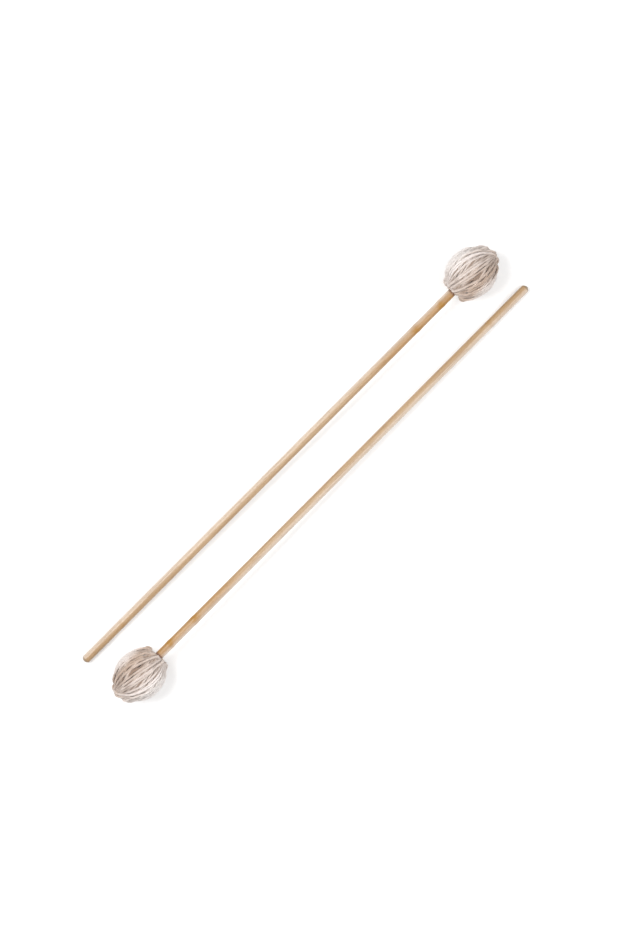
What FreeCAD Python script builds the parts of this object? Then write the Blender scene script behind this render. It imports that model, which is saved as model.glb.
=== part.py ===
# Pair of vibraphone mallets with rattan shafts and yarn-wound heads, lying side by side with the heads
# at opposite ends. X runs along the shafts, Z is up, and the origin is on the surface under the middle.
# Sizes are in millimetres and degrees. Each mallet is made upright from its butt and then laid down.
import FreeCAD, Part
import Sketcher
import math
import os
from FreeCAD import Placement, Rotation, Vector

DRIVING_SIZES = {
    "overall_length": 390.0,
    "mallet_spacing": 33.0,
    "hard_clearance": 0.05,
    "soft_clearance": 0.3,
    # Rattan shaft
    "shaft_radius": 2.9,
    "butt_rise": 1.9,
    "tip_chamfer": 0.5,
    "growth_ring_rise": 0.15,
    "growth_ring_length": 7.0,
    "growth_ring_setback": 9.8,
    "growth_ring_step": 22.8,
    # Rubber core on its glue
    "glue_wall": 0.3,
    "glue_bead_radius": 4.2,
    "glue_bead_height": 1.0,
    "core_end_share": 0.52,
    # Wound head
    "head_length": 40.3,
    "head_radius": 16.75,
    "belly_share": 0.484,
    "anchor_wall": 1.3,
    "anchor_length": 2.4,
    "anchor_bevel": 0.6,
    "winding_base_radius": 7.1,
    "winding_clearance": 0.7,
    "neck_wall": 2.95,
    "belly_wall": 1.25,
    "crown_wall": 1.6,
    "nub_radius": 2.4,
    "nub_dome": 1.1,
    # Yarn of the outer winding
    "yarn_diameter": 2.4,
    "yarn_gap": 0.55,
    "belly_step": 0.6,
    "neck_hollow_radius": 4.3,
    "crown_ring_radius": 6.2,
    "crown_drop": 2.4,
    "crown_slope": 40.0,
    "yarn_slant": 8.0,
    "end_shift": 1.0,
    "neck_twist": 7.0,
    "crown_twist": 8.0,
    # Binding thread at the neck and at the crown
    "thread_diameter": 0.8,
    "thread_gap": 0.45,
    "neck_binding_start": 0.8,
    "crown_binding_start": 3.7,
}

# Places that follow from the driving sizes, as formulas of the same sheet
DERIVED_SIZES = {
    "head_base": "overall_length - head_length",
    "belly_level": "head_base + head_length * belly_share",
    "yarn_radius": "yarn_diameter / 2",
    "yarn_lane": "yarn_diameter + yarn_gap",
    "winding_radius": "head_radius - belly_step - yarn_diameter - winding_clearance",
    "winding_base": "head_base + yarn_diameter + yarn_lane + end_shift + winding_clearance",
    "winding_cone_level": "overall_length - crown_drop - (yarn_lane + yarn_radius + winding_clearance)"
    " / cos(crown_slope * 1deg)",
    "butt_radius": "(shaft_radius^2 + butt_rise^2) / (2 * butt_rise)",
    "ring_one_start": "head_base - growth_ring_setback - growth_ring_length / 2",
    "ring_one_end": "ring_one_start + growth_ring_length",
    "ring_two_start": "ring_one_start - growth_ring_step",
    "ring_two_end": "ring_one_end - growth_ring_step",
    "ring_bow_radius": "(growth_ring_length^2 / 4 + growth_ring_rise^2) / (2 * growth_ring_rise)",
    "core_base": "winding_base + neck_wall",
    "core_top": "winding_cone_level - crown_wall",
    "core_level": "(core_base + core_top) / 2",
    "core_radius": "winding_radius - belly_wall - soft_clearance",
    "core_end_radius": "core_radius * core_end_share",
    "core_bulge_radius": "((core_radius - core_end_radius)^2 + (core_top - core_base)^2 / 4)"
    " / (2 * (core_radius - core_end_radius))",
    "tip_level": "core_top - tip_chamfer",
    "tip_radius": "shaft_radius - tip_chamfer",
    "glue_inner_radius": "shaft_radius + hard_clearance",
    "glue_outer_radius": "glue_inner_radius + glue_wall",
    "glue_bead_base": "core_base - hard_clearance - glue_bead_height",
    "glue_bead_top": "core_base - hard_clearance",
    "core_bore_radius": "glue_outer_radius + hard_clearance",
    "anchor_inner_radius": "shaft_radius + hard_clearance",
    "anchor_outer_radius": "anchor_inner_radius + anchor_wall",
    "anchor_top": "glue_bead_base - hard_clearance",
    "anchor_base": "anchor_top - anchor_length",
    "anchor_edge_radius": "anchor_inner_radius + anchor_wall / 2",
    "anchor_swell_base": "anchor_base + anchor_bevel",
    "anchor_swell_top": "anchor_top - anchor_bevel",
    "nub_top": "overall_length",
    "nub_shoulder": "nub_top - nub_dome",
    "nub_dome_radius": "(nub_radius^2 + nub_dome^2) / (2 * nub_dome)",
    "cavity_base": "core_base - soft_clearance",
    "cavity_top": "core_top + soft_clearance",
    "cavity_radius": "core_radius + soft_clearance",
    "cavity_end_radius": "core_end_radius + soft_clearance",
    "cavity_bulge_radius": "((cavity_radius - cavity_end_radius)^2 + (cavity_top - cavity_base)^2 / 4)"
    " / (2 * (cavity_radius - cavity_end_radius))",
    "sleeve_radius": "anchor_outer_radius + soft_clearance",
    "winding_neck_bulge": "((winding_radius - winding_base_radius)^2 + (belly_level - winding_base)^2)"
    " / (2 * (winding_radius - winding_base_radius))",
    "winding_crown_bulge": "((winding_radius - crown_ring_radius)^2"
    " + (winding_cone_level - belly_level)^2) / (2 * (winding_radius - crown_ring_radius))",
    "nub_foot": "winding_cone_level + (crown_ring_radius - nub_radius) * tan(crown_slope * 1deg)",
}

YARN_LAYERS = 2
STRANDS_PER_LAYER = 10
YARN_SIDES = 4
NECK_BINDING_TURNS = 2
CROWN_BINDING_TURNS = 2
THREAD_SIDES = 4
STEPS_PER_TURN = 2
NECK_ARC_SHARE = 0.88
CROWN_ARC_SHARE = 0.6
SAMPLE_STEP_SHARE = 0.25
DIRECTION_TOLERANCE = 1e-6
MALLETS = ("a", "b")

# Outlines of the turned pieces: corners as (radius, level), and where an arc leaves a corner, its radius
# and the way that it bows, outwards being to the right of the outline's course
AXIS = "axis"
BUTT = "butt"
SHAFT_OUTLINE = [
    (AXIS, BUTT, "butt_radius", "outwards"),
    ("shaft_radius", "butt_rise"),
    ("shaft_radius", "ring_two_start", "ring_bow_radius", "outwards"),
    ("shaft_radius", "ring_two_end"),
    ("shaft_radius", "ring_one_start", "ring_bow_radius", "outwards"),
    ("shaft_radius", "ring_one_end"),
    ("shaft_radius", "tip_level"),
    ("tip_radius", "core_top"),
    (AXIS, "core_top"),
]
CORE_OUTLINE = [
    ("core_bore_radius", "core_base"),
    ("core_end_radius", "core_base", "core_bulge_radius", "outwards"),
    ("core_radius", "core_level", "core_bulge_radius", "outwards"),
    ("core_end_radius", "core_top"),
    ("core_bore_radius", "core_top"),
]
GLUE_OUTLINE = [
    ("glue_inner_radius", "glue_bead_base"),
    ("glue_bead_radius", "glue_bead_top"),
    ("glue_outer_radius", "glue_bead_top"),
    ("glue_outer_radius", "core_top"),
    ("glue_inner_radius", "core_top"),
]
ANCHOR_OUTLINE = [
    ("anchor_inner_radius", "anchor_base"),
    ("anchor_edge_radius", "anchor_base"),
    ("anchor_outer_radius", "anchor_swell_base"),
    ("anchor_outer_radius", "anchor_swell_top"),
    ("anchor_edge_radius", "anchor_top"),
    ("anchor_inner_radius", "anchor_top"),
]
INNER_WINDING_OUTLINE = [
    ("sleeve_radius", "winding_base"),
    ("winding_base_radius", "winding_base", "winding_neck_bulge", "outwards"),
    ("winding_radius", "belly_level", "winding_crown_bulge", "outwards"),
    ("crown_ring_radius", "winding_cone_level"),
    ("nub_radius", "nub_foot"),
    ("nub_radius", "nub_shoulder", "nub_dome_radius", "outwards"),
    (AXIS, "nub_top"),
    (AXIS, "cavity_top"),
    ("cavity_end_radius", "cavity_top", "cavity_bulge_radius", "inwards"),
    ("cavity_radius", "core_level", "cavity_bulge_radius", "inwards"),
    ("cavity_end_radius", "cavity_base"),
    ("sleeve_radius", "cavity_base"),
]

doc = FreeCAD.newDocument("vibraphone_mallets")
sheet = doc.addObject("Spreadsheet::Sheet", "Sizes")
for row, (name, number) in enumerate(DRIVING_SIZES.items(), start=1):
    sheet.set(f"A{row}", name)
    sheet.set(f"B{row}", str(number))
    sheet.setAlias(f"B{row}", name)
doc.recompute()
for row, (name, formula) in enumerate(DERIVED_SIZES.items(), start=1):
    sheet.set(f"D{row}", name)
    sheet.set(f"E{row}", "=" + formula)
    sheet.setAlias(f"E{row}", name)
doc.recompute()


def size(name):
    """The sheet's value of a name."""
    return float(sheet.get(name))


def polar(radius, angle, height):
    """A point round the mallet's axis, at an angle in radians."""
    return Vector(radius * math.cos(angle), radius * math.sin(angle), height)


def arc_radius(start, tangent, end):
    """The radius of the arc that leaves a point along a tangent and ends at another."""
    chord = end - start
    return chord.Length / (2 * math.sin(tangent.getAngle(chord)))


def arc_edge(start, tangent, end):
    """The arc that leaves a point along a tangent and ends at another."""
    chord = end - start
    half_turn = tangent.getAngle(chord)
    across = (tangent - chord * (tangent.dot(chord) / chord.dot(chord))).normalize()
    middle = start + chord * 0.5 + across * (chord.Length / 2 * math.tan(half_turn / 2))
    return Part.Arc(start, middle, end).toShape()


def biarc(start, start_tangent, end, end_tangent, first_share=None):
    """The point and tangent where two smooth arcs between two ends meet.

    first_share sets how much of its longest length the first arc's tangent takes; without it both
    arcs have tangents of one length.
    """
    chord = end - start
    if first_share is None:
        both = start_tangent + end_tangent
        spread = 2 * (1 - start_tangent.dot(end_tangent))
        reach = chord.dot(both)
        first = (math.sqrt(reach**2 + spread * chord.dot(chord)) - reach) / spread
        second = first
    else:
        first = first_share * chord.dot(chord) / (2 * chord.dot(start_tangent))
        rest = chord.dot(chord) / 2 - first * chord.dot(start_tangent)
        second = rest / (chord.dot(end_tangent) + first * (1 - start_tangent.dot(end_tangent)))
    first_corner = start + start_tangent * first
    second_corner = end - end_tangent * second
    joint = first_corner + (second_corner - first_corner) * (first / (first + second))
    return joint, (second_corner - first_corner).normalize()


class Route:
    """A line of straight runs and arcs that a yarn or thread follows, with its tangents."""

    def __init__(self, start, tangent):
        self.point = start
        self.tangent = tangent
        self.edges = []
        self.radii = []

    def straight(self, length):
        """Run on along the tangent."""
        end = self.point + self.tangent * length
        self.edges.append(Part.LineSegment(self.point, end).toShape())
        self.point = end

    def arc(self, end, tangent):
        """Turn to a point, where the route then has the given tangent."""
        self.radii.append(arc_radius(self.point, self.tangent, end))
        self.edges.append(arc_edge(self.point, self.tangent, end))
        self.point = end
        self.tangent = tangent

    def turn(self, end, tangent):
        """Turn to a point through one arc where that ends along the tangent, and else through two."""
        chord = (end - self.point).normalize()
        mirrored = chord * (2 * chord.dot(self.tangent)) - self.tangent
        if not mirrored.isEqual(tangent, DIRECTION_TOLERANCE):
            self.arc(*biarc(self.point, self.tangent, end, tangent))
        self.arc(end, tangent)

    def length(self):
        """The whole length of the route."""
        return sum(edge.Length for edge in self.edges)

    def tube(self, diameter, sides):
        """The closed solid of one unbroken yarn along the route."""
        first = self.edges[0]
        start = first.valueAt(first.FirstParameter)
        facing = Rotation(Vector(0, 0, 1), first.tangentAt(first.FirstParameter))
        corners = [
            start + facing.multVec(polar(diameter / 2, 2 * math.pi * side / sides, 0))
            for side in range(sides)
        ]
        section = Part.makePolygon(corners + corners[:1])
        solid = Part.Wire(self.edges).makePipeShell([section], True, False)
        area = sides / 2 * (diameter / 2) ** 2 * math.sin(2 * math.pi / sides)
        print(f"  volume over section times length {solid.Volume / (area * self.length()):.4f}")
        return solid

    def least_gap(self, diameter):
        """The least gap of the yarn to itself, on points along the route."""
        step = diameter * SAMPLE_STEP_SHARE
        samples = []
        run = 0
        for edge in self.edges:
            count = max(2, math.ceil(edge.Length / step))
            for point in edge.discretize(Number=count + 1)[:-1]:
                samples.append((run, point))
                run += edge.Length / count
        cells = {}
        for place, point in samples:
            key = tuple(math.floor(part / (2 * diameter)) for part in point)
            cells.setdefault(key, []).append((place, point))
        least = 2 * diameter
        for key, members in cells.items():
            near = [
                sample
                for across in (-1, 0, 1)
                for along in (-1, 0, 1)
                for up in (-1, 0, 1)
                for sample in cells.get((key[0] + across, key[1] + along, key[2] + up), ())
            ]
            for place, point in members:
                for other_place, other in near:
                    if abs(place - other_place) > 2 * diameter:
                        least = min(least, point.distanceToPoint(other))
        return least - diameter


def ring_radius(hollow_radius):
    """The radius at which the yarn starts to turn back, so that its turns leave a hollow."""
    half_step = math.pi / STRANDS_PER_LAYER
    return (hollow_radius + size("yarn_radius")) * math.cos(half_step) / (1 - math.sin(half_step))


def inward(angle, slope):
    """The tangent that runs in towards the axis at a slope, in radians."""
    return polar(-math.cos(slope), angle, math.sin(slope))


def layer_levels(layer):
    """The belly radius and the levels of the neck and crown rings of a layer, the last one outside."""
    under = YARN_LAYERS - 1 - layer
    belly_radius = size("head_radius") - size("yarn_radius") - under * size("belly_step")
    neck = size("head_base") + size("yarn_radius") + under * size("yarn_lane")
    rise = size("yarn_lane") / math.cos(math.radians(size("crown_slope")))
    crown = size("overall_length") - size("crown_drop") - under * rise
    return belly_radius, neck, crown


def strand_ends(layer, angle, neck_shift=0):
    """Each end of the strand that crosses the belly at an angle, as (point, inward tangent)."""
    belly_radius, neck, crown = layer_levels(layer)
    neck_angle = angle - math.radians(size("neck_twist"))
    crown_angle = angle + math.radians(size("crown_twist"))
    slope = math.radians(size("crown_slope"))
    neck_point = polar(ring_radius(size("neck_hollow_radius")), neck_angle, neck + neck_shift)
    crown_point = polar(size("crown_ring_radius"), crown_angle, crown)
    return (neck_point, inward(neck_angle, 0)), (crown_point, inward(crown_angle, slope))


def belly_crossing(layer, angle):
    """The point and the rising tangent of a strand on the belly."""
    slant = math.radians(size("yarn_slant"))
    tangent = Vector(-math.sin(angle) * math.sin(slant), math.cos(angle) * math.sin(slant), math.cos(slant))
    return polar(layer_levels(layer)[0], angle, size("belly_level")), tangent


def add_strand(route, layer, angle, rising, neck_shift):
    """Lead the route from one ring over the belly to the other ring."""
    neck_end, crown_end = strand_ends(layer, angle, neck_shift)
    belly, belly_tangent = belly_crossing(layer, angle)
    neck_joint, neck_tangent = biarc(belly, -belly_tangent, *neck_end, NECK_ARC_SHARE)
    crown_joint, crown_tangent = biarc(belly, belly_tangent, *crown_end, CROWN_ARC_SHARE)
    if rising:
        route.arc(neck_joint, -neck_tangent)
        route.arc(belly, belly_tangent)
        route.arc(crown_joint, crown_tangent)
        route.arc(*crown_end)
    else:
        route.arc(crown_joint, -crown_tangent)
        route.arc(belly, -belly_tangent)
        route.arc(neck_joint, neck_tangent)
        route.arc(*neck_end)


def outer_winding_route():
    """The yarn's route: up and down over the belly, turning back at the crown and at the neck."""
    step = 2 * math.pi / STRANDS_PER_LAYER
    lay = step / YARN_LAYERS
    route = None
    strand = 0
    for layer in range(YARN_LAYERS):
        for pass_number in range(STRANDS_PER_LAYER):
            # The last layer has a strand at the angle zero, on which the head rests.
            angle = (layer - YARN_LAYERS + 1) * lay + strand * step
            rising = pass_number % 2 == 0
            shift = 0
            if (layer, pass_number) == (0, 0):
                shift = size("end_shift")
            if (layer, pass_number) == (YARN_LAYERS - 1, STRANDS_PER_LAYER - 1):
                shift = -size("end_shift")
            neck_end, crown_end = strand_ends(layer, angle, shift)
            point, tangent = neck_end if rising else crown_end
            if route is None:
                start = point + tangent * size("yarn_diameter")
                route = Route(start, -tangent)
                route.straight(size("yarn_diameter"))
            else:
                route.turn(point, -tangent)
            add_strand(route, layer, angle, rising, shift)
            strand += 1
        strand -= 1
    route.straight(size("yarn_diameter"))
    return route


def coil_route(core_radius, start_level, turns):
    """The route of a few turns of thread round a core on the axis, with straight ends."""
    radius = core_radius + size("hard_clearance") + size("thread_diameter") / 2
    pitch = size("thread_diameter") + size("thread_gap")
    climb = math.atan2(pitch, 2 * math.pi * radius)

    def tangent(angle):
        return polar(math.cos(climb), angle + math.pi / 2, math.sin(climb))

    start = polar(radius, 0, start_level) - tangent(0) * size("thread_diameter")
    route = Route(start, tangent(0))
    route.straight(size("thread_diameter"))
    for number in range(1, turns * STEPS_PER_TURN + 1):
        part_turn = number / STEPS_PER_TURN
        angle = 2 * math.pi * part_turn
        route.turn(polar(radius, angle, start_level + part_turn * pitch), tangent(angle))
    route.straight(size("thread_diameter"))
    return route


def wound_part(label, shape, placement):
    """A sub-part whose solid is a wound yarn or thread."""
    part = doc.addObject("Part::Feature", label)
    part.Label = label
    part.Shape = shape
    part.Placement = placement
    return part


def bind(sketch, index, name):
    """Tie a sketch's constraint to a size of the sheet."""
    sketch.setExpression(f"Constraints[{index}]", f"{sheet.Name}.{name}")


def corner_point(corner):
    """Where a corner of an outline lies, as its radius and level."""
    radius = 0 if corner[0] == AXIS else size(corner[0])
    level = 0 if corner[1] == BUTT else size(corner[1])
    return Vector(radius, level, 0)


def outline_edge(corner, following):
    """The edge between two corners of an outline, and its ends in the order of the outline's course."""
    start = corner_point(corner)
    end = corner_point(following)
    if len(corner) == 2:
        return Part.LineSegment(start, end), (1, 2)
    radius = size(corner[2])
    chord = end - start
    depth = math.sqrt(radius**2 - chord.dot(chord) / 4)
    to_left = Vector(-chord.y, chord.x, 0).normalize()
    outwards = corner[3] == "outwards"
    centre = (start + end) * 0.5 + to_left * (depth if outwards else -depth)
    first, last = (start, end) if outwards else (end, start)
    angles = [math.atan2(point.y - centre.y, point.x - centre.x) for point in (first, last)]
    circle = Part.Circle(centre, Vector(0, 0, 1), radius)
    return Part.ArcOfCircle(circle, angles[0], angles[1]), (1, 2) if outwards else (2, 1)


def tie_corner(sketch, corner, edge, end):
    """Hold a corner of an outline at its named radius and level."""
    if corner[0] == AXIS:
        sketch.addConstraint(Sketcher.Constraint("PointOnObject", edge, end, -2))
    else:
        across = Sketcher.Constraint("DistanceX", -1, 1, edge, end, size(corner[0]))
        bind(sketch, sketch.addConstraint(across), corner[0])
    if corner[1] == BUTT:
        sketch.addConstraint(Sketcher.Constraint("PointOnObject", edge, end, -1))
    else:
        up = Sketcher.Constraint("DistanceY", -1, 1, edge, end, size(corner[1]))
        bind(sketch, sketch.addConstraint(up), corner[1])


def turned_part(label, outline, placement):
    """A sub-part turned about its axis from an outline."""
    body = doc.addObject("PartDesign::Body", label)
    body.Label = label
    sketch = body.newObject("Sketcher::SketchObject", label + "_outline")
    plane = next(item for item in body.Origin.OriginFeatures if item.Role == "XZ_Plane")
    sketch.AttachmentSupport = [(plane, "")]
    sketch.MapMode = "FlatFace"
    edges = []
    for number, corner in enumerate(outline):
        edge, order = outline_edge(corner, outline[(number + 1) % len(outline)])
        edges.append((sketch.addGeometry(edge, False), order))
    for number, corner in enumerate(outline):
        edge, order = edges[number]
        last_edge, last_order = edges[number - 1]
        meeting = Sketcher.Constraint("Coincident", last_edge, last_order[1], edge, order[0])
        sketch.addConstraint(meeting)
        tie_corner(sketch, corner, edge, order[0])
        if len(corner) > 2:
            bow = Sketcher.Constraint("Radius", edge, size(corner[2]))
            bind(sketch, sketch.addConstraint(bow), corner[2])
    turned = body.newObject("PartDesign::Revolution", label + "_turned")
    turned.Profile = sketch
    turned.ReferenceAxis = (sketch, ["V_Axis"])
    turned.Angle = 360
    body.Placement = placement
    return body


def lying_placement(number):
    """Where a mallet lies: on its butt and its belly, every second one turned end for end."""
    rise = size("head_radius") - size("shaft_radius")
    tilt = math.atan2(rise, size("belly_level") - size("butt_rise"))
    butt = Vector(
        -size("overall_length") / 2 * math.cos(tilt),
        size("mallet_spacing") / 2,
        size("shaft_radius") * math.cos(tilt) - size("butt_rise") * math.sin(tilt),
    )
    laid = Placement(butt, Rotation(Vector(0, 1, 0), 90 - math.degrees(tilt)))
    turned = Placement(Vector(), Rotation(Vector(0, 0, 1), 180 * number))
    return turned.multiply(laid)


def reported_tube(name, route, diameter, sides):
    """The solid of a wound yarn or thread, with its measures printed."""
    solid = route.tube(diameter, sides)
    print(f"{name}: {route.length():.0f} mm long, tightest radius {min(route.radii):.2f} mm,")
    print(f"  least gap to itself {route.least_gap(diameter):.2f} mm")
    return solid


outer_winding = reported_tube(
    "outer winding", outer_winding_route(), size("yarn_diameter"), YARN_SIDES
)
neck_binding = reported_tube(
    "neck binding",
    coil_route(size("shaft_radius"), size("head_base") + size("neck_binding_start"), NECK_BINDING_TURNS),
    size("thread_diameter"),
    THREAD_SIDES,
)
crown_binding = reported_tube(
    "crown binding",
    coil_route(size("nub_radius"), size("nub_top") - size("crown_binding_start"), CROWN_BINDING_TURNS),
    size("thread_diameter"),
    THREAD_SIDES,
)

parts = []
for number, mallet in enumerate(MALLETS):
    placement = lying_placement(number)
    parts += [
        turned_part(f"rattan_shaft_{mallet}", SHAFT_OUTLINE, placement),
        turned_part(f"rubber_core_{mallet}", CORE_OUTLINE, placement),
        turned_part(f"core_glue_{mallet}", GLUE_OUTLINE, placement),
        turned_part(f"yarn_anchor_{mallet}", ANCHOR_OUTLINE, placement),
        turned_part(f"inner_winding_{mallet}", INNER_WINDING_OUTLINE, placement),
        wound_part(f"outer_winding_{mallet}", outer_winding, placement),
        wound_part(f"neck_binding_{mallet}", neck_binding, placement),
        wound_part(f"crown_binding_{mallet}", crown_binding, placement),
    ]

doc.recompute()
for item in doc.Objects:
    if "Invalid" in item.State or "Error" in item.State:
        raise RuntimeError(f"{item.Label} failed to build")
for part in parts:
    if part.Shape.isNull() or not part.Shape.isValid() or len(part.Shape.Solids) != 1:
        raise RuntimeError(f"{part.Label} is not one valid solid")

os.makedirs("parts", exist_ok=True)
for part in parts:
    part.Shape.exportStep(os.path.join("parts", part.Label + ".step"))
    print(f"{part.Label}: {part.Shape.Volume / 1000:.2f} cm3")
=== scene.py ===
"""Dresses a pair of vibraphone mallets: rattan shafts, yarn-wound heads and a plain studio."""

import logging
import math
from dataclasses import dataclass, field
from enum import Enum
from typing import Any

import bpy
import numpy as np
from mathutils import Matrix, Vector


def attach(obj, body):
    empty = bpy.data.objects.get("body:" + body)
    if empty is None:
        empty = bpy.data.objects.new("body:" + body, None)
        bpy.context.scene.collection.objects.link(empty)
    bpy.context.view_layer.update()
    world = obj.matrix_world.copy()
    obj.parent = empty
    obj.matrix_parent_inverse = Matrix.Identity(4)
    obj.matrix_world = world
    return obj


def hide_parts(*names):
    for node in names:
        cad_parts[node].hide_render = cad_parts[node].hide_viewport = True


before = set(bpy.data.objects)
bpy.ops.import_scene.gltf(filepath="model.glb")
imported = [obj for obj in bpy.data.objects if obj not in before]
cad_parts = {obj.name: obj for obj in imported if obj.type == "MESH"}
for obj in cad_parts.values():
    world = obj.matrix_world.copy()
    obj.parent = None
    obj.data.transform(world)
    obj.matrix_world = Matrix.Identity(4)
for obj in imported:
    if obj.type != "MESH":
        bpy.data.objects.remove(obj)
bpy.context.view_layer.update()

MM = 0.001
PLACE = "local_place"
TONE = "tone"
# The share of painted shade on a yarn's points, which grows with how deep they lie.
DEPTH_SHADE = "depth"
RING_PLACE = "ring_place"
FLOOR_CLEARANCE = 0.00002

log = logging.getLogger("mallets")

Triple = tuple[float, float, float]
Colour = Triple
Span = tuple[float, float]
Ramp = tuple[float, float, float, float]
Value = Any
Node = bpy.types.Node
Socket = bpy.types.NodeSocket
Material = bpy.types.Material
Mesh = bpy.types.Mesh
Piece = bpy.types.Object
Array = np.ndarray
Layers = dict[str, Array]


def linear(red: int, green: int, blue: int) -> Colour:
    """The linear colour of a display colour given in steps of 255."""
    shares = [part / 255 for part in (red, green, blue)]
    return tuple(s / 12.92 if s <= 0.04045 else ((s + 0.055) / 1.055) ** 2.4 for s in shares)


def put(name: str, data: Value) -> Piece:
    """Put a new object in the scene.

    Args:
        name: The object's name.
        data: Its mesh, lamp or camera.

    Returns:
        The object.
    """
    made = bpy.data.objects.new(name, data)
    bpy.context.scene.collection.objects.link(made)
    return made


def spots_of(mesh: Mesh) -> Array:
    """The places of a mesh's points.

    Args:
        mesh: The mesh.

    Returns:
        One row for each point.
    """
    spots = np.zeros(len(mesh.vertices) * 3)
    mesh.vertices.foreach_get("co", spots)
    return spots.reshape(-1, 3)


class Mallet(Enum):
    """Which mallet of the pair a piece belongs to."""

    A = "a"
    B = "b"

    @property
    def body(self) -> str:
        """The name of the mallet's moving body."""
        return f"mallet_{self.value}"


@dataclass(frozen=True)
class MalletSizes:
    """Sizes of the real mallet in millimetres, the same as in the CAD source."""

    overall_length: float = 390.0
    head_length: float = 40.3
    head_radius: float = 16.75
    belly_share: float = 0.484
    shaft_radius: float = 2.9
    butt_rise: float = 1.9
    spacing: float = 33.0
    thread_radius: float = 0.4
    thread_lane: float = 1.25
    hard_clearance: float = 0.05

    @property
    def head_base(self) -> float:
        """The level at which the head starts, from the butt."""
        return self.overall_length - self.head_length

    def lying(self, mallet: Mallet) -> Matrix:
        """The matrix from a mallet's own millimetres, upright from its butt, to the frame's metres.

        Args:
            mallet: Which of the two mallets it is.

        Returns:
            The matrix of the mallet's lying place.
        """
        rise = self.head_radius - self.shaft_radius
        belly = self.head_base + self.head_length * self.belly_share
        tilt = math.atan2(rise, belly - self.butt_rise)
        butt = Vector((
            -self.overall_length / 2 * math.cos(tilt),
            self.spacing / 2,
            self.shaft_radius * math.cos(tilt) - self.butt_rise * math.sin(tilt),
        ))
        raised = Matrix.Rotation(math.pi / 2 - tilt, 4, "Y")
        laid = Matrix.Translation(butt * MM) @ raised @ Matrix.Scale(MM, 4)
        turn = Matrix.Rotation(0.0 if mallet is Mallet.A else math.pi, 4, "Z")
        return turn @ laid


class Graph:
    """A node tree built node by node, with each node's inputs given by name or identifier."""

    def __init__(self, tree: bpy.types.NodeTree) -> None:
        """Start on an empty or cleared tree."""
        self.tree = tree

    def socket(self, node: Node, key: str | int) -> Socket:
        """Find a node's input.

        Args:
            node: The node that has the input.
            key: The input's number, identifier or name.

        Returns:
            The input socket.
        """
        if isinstance(key, int):
            return node.inputs[key]
        for socket in node.inputs:
            if socket.identifier == key:
                return socket
        return next(s for s in node.inputs if s.name == key and s.enabled)

    def add(
        self, kind: str, inputs: dict[str | int, Value] | None = None, **settings: Value
    ) -> Node:
        """Add a node.

        Args:
            kind: The node's type name.
            inputs: Values or output sockets for its inputs.
            settings: The node's own properties.

        Returns:
            The new node.
        """
        node = self.tree.nodes.new(kind)
        for name, value in settings.items():
            setattr(node, name, value)
        for key, value in (inputs or {}).items():
            socket = self.socket(node, key)
            if isinstance(value, Node):
                value = next(s for s in value.outputs if s.enabled)
            if isinstance(value, Socket):
                self.tree.links.new(value, socket)
            else:
                socket.default_value = value
        return node

    def math(self, operation: str, *values: Value, clamp: bool = False) -> Node:
        """Add a math node on one to three values."""
        inputs = dict(enumerate(values))
        return self.add("ShaderNodeMath", inputs, operation=operation, use_clamp=clamp)

    def split(self, vector: Socket) -> dict[str, Socket]:
        """A vector's parts by their letters."""
        node = self.add("ShaderNodeSeparateXYZ", {"Vector": vector})
        return {part.name: part for part in node.outputs}


@dataclass(frozen=True)
class Pattern:
    """A noise, with its scale, its detail, its distortion and how it is drawn out."""

    scale: float
    detail: float = 3.0
    distortion: float = 0.0
    stretch: Triple | None = None


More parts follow.
